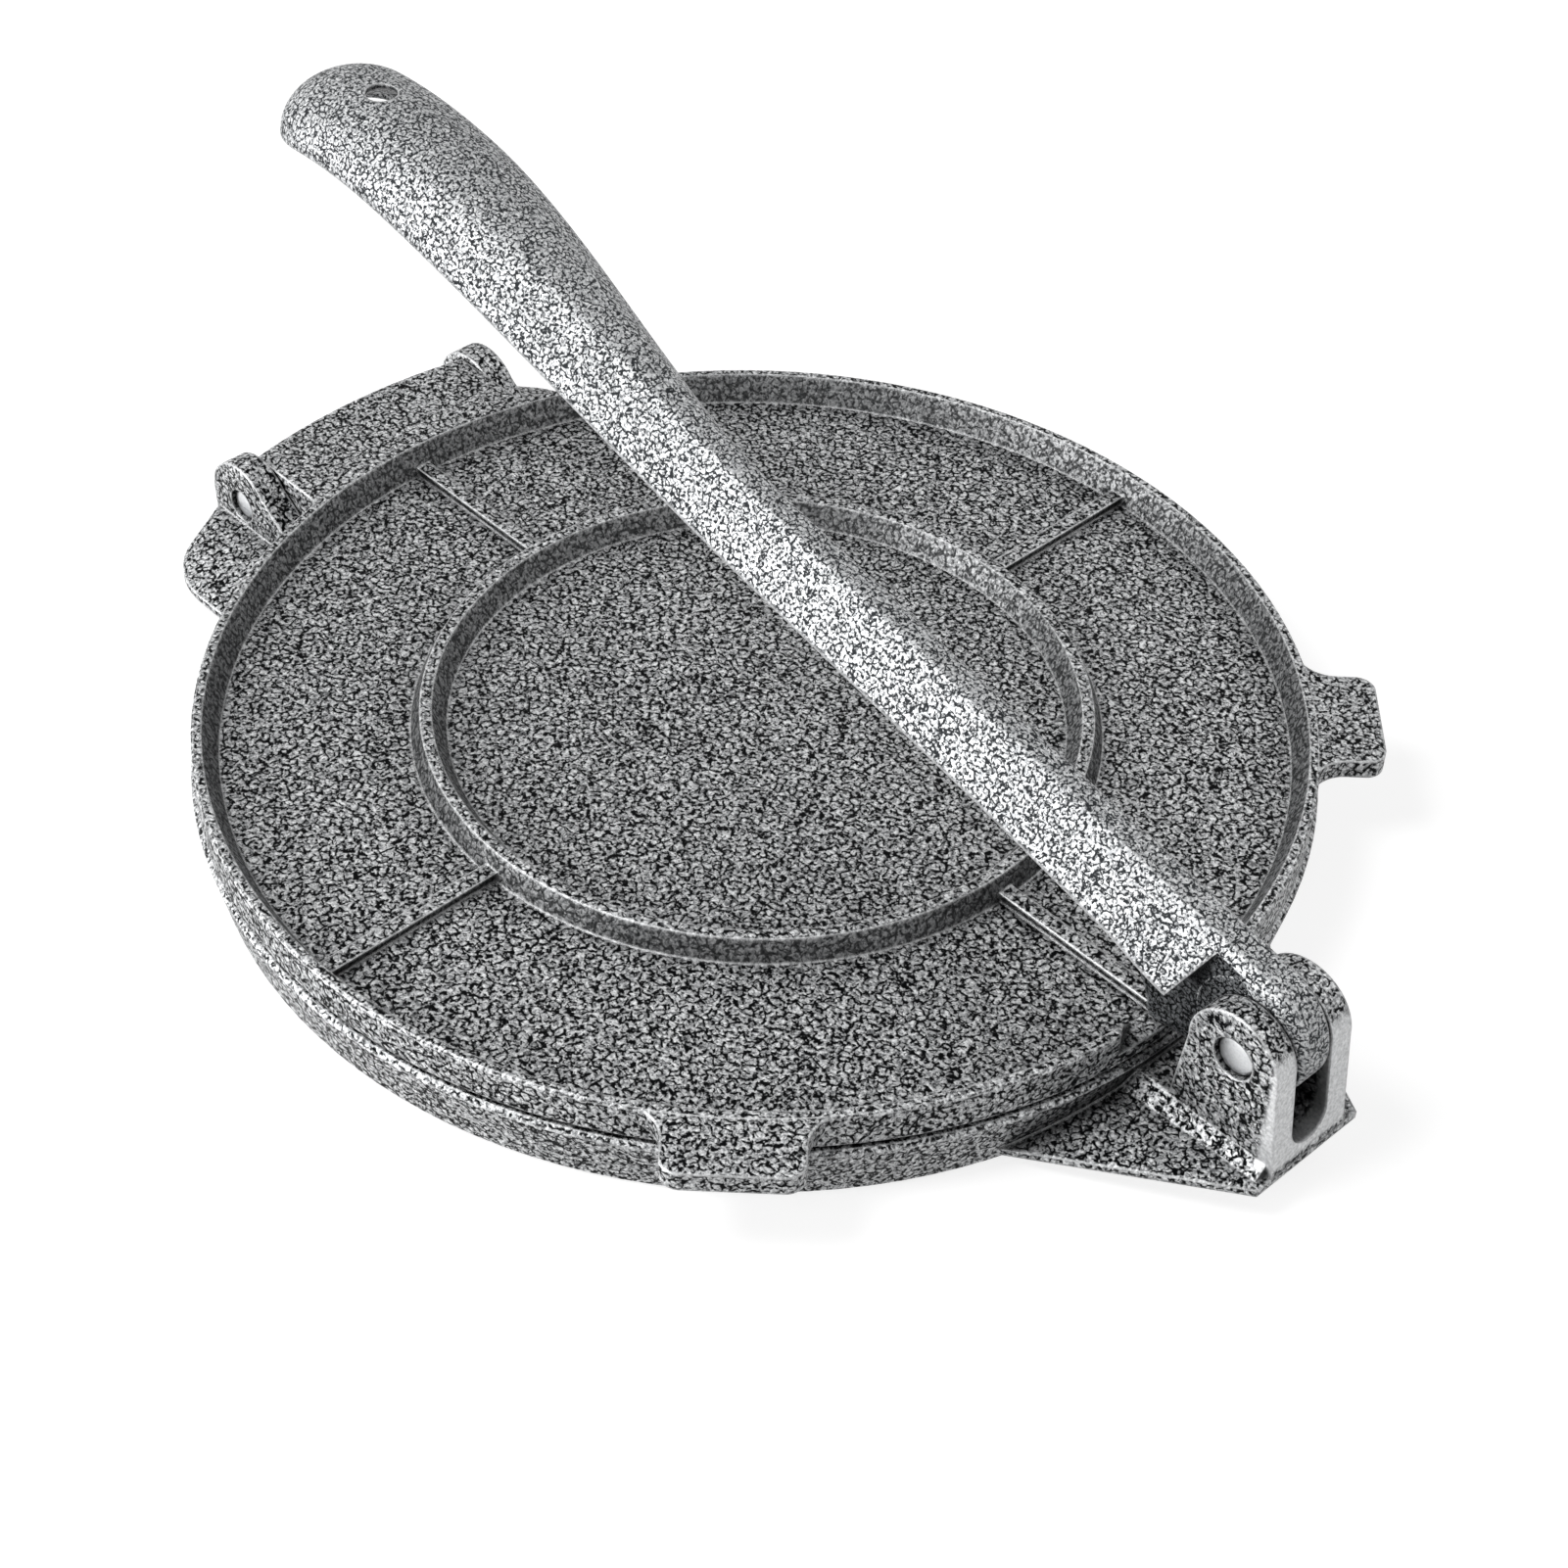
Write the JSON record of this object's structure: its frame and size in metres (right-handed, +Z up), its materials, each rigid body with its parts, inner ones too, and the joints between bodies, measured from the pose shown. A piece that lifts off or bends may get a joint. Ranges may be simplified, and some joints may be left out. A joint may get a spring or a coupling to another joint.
{
  "type": "tortilla press",
  "caption": "Hinged cast-iron press for flattening dough: a round lower plate, a hinged upper plate and a long pivoted lever that squeezes them together.",
  "frame": {"origin": "centre of the round lower plate on its underside, the level of the table", "axes": "+Z up, +X from the plate hinge to the lever's pivot; the XZ plane is its plane of symmetry"},
  "size_m": [0.2601, 0.2076, 0.0992],
  "materials": {
    "hammertone_paint": "grey hammertone paint with a fine black vein pattern over cast iron",
    "steel_pin": "bright steel"
  },
  "bodies": {
    "base": {"lower_plate": "hammertone_paint", "hinge_pin": "steel_pin", "lever_pin": "steel_pin"},
    "lid": {"upper_plate": "hammertone_paint"},
    "arm": {"lever": "hammertone_paint"}
  },
  "joints": [
    {"name": "lever_pivot", "type": "hinge", "parent": "base", "child": "arm", "pos_m": [0.121, 0, 0.0276], "axis": [0, 1, 0], "range_deg": [0, 165]},
    {"name": "lid_hinge", "type": "hinge", "parent": "base", "child": "lid", "pos_m": [-0.1173, 0, 0.0121], "axis": [0, -1, 0], "range_deg": [0, 110]}
  ],
  "couplings": [
    {"joint": "lid_hinge", "follows": "lever_pivot", "ratio": 0.078}
  ]
}
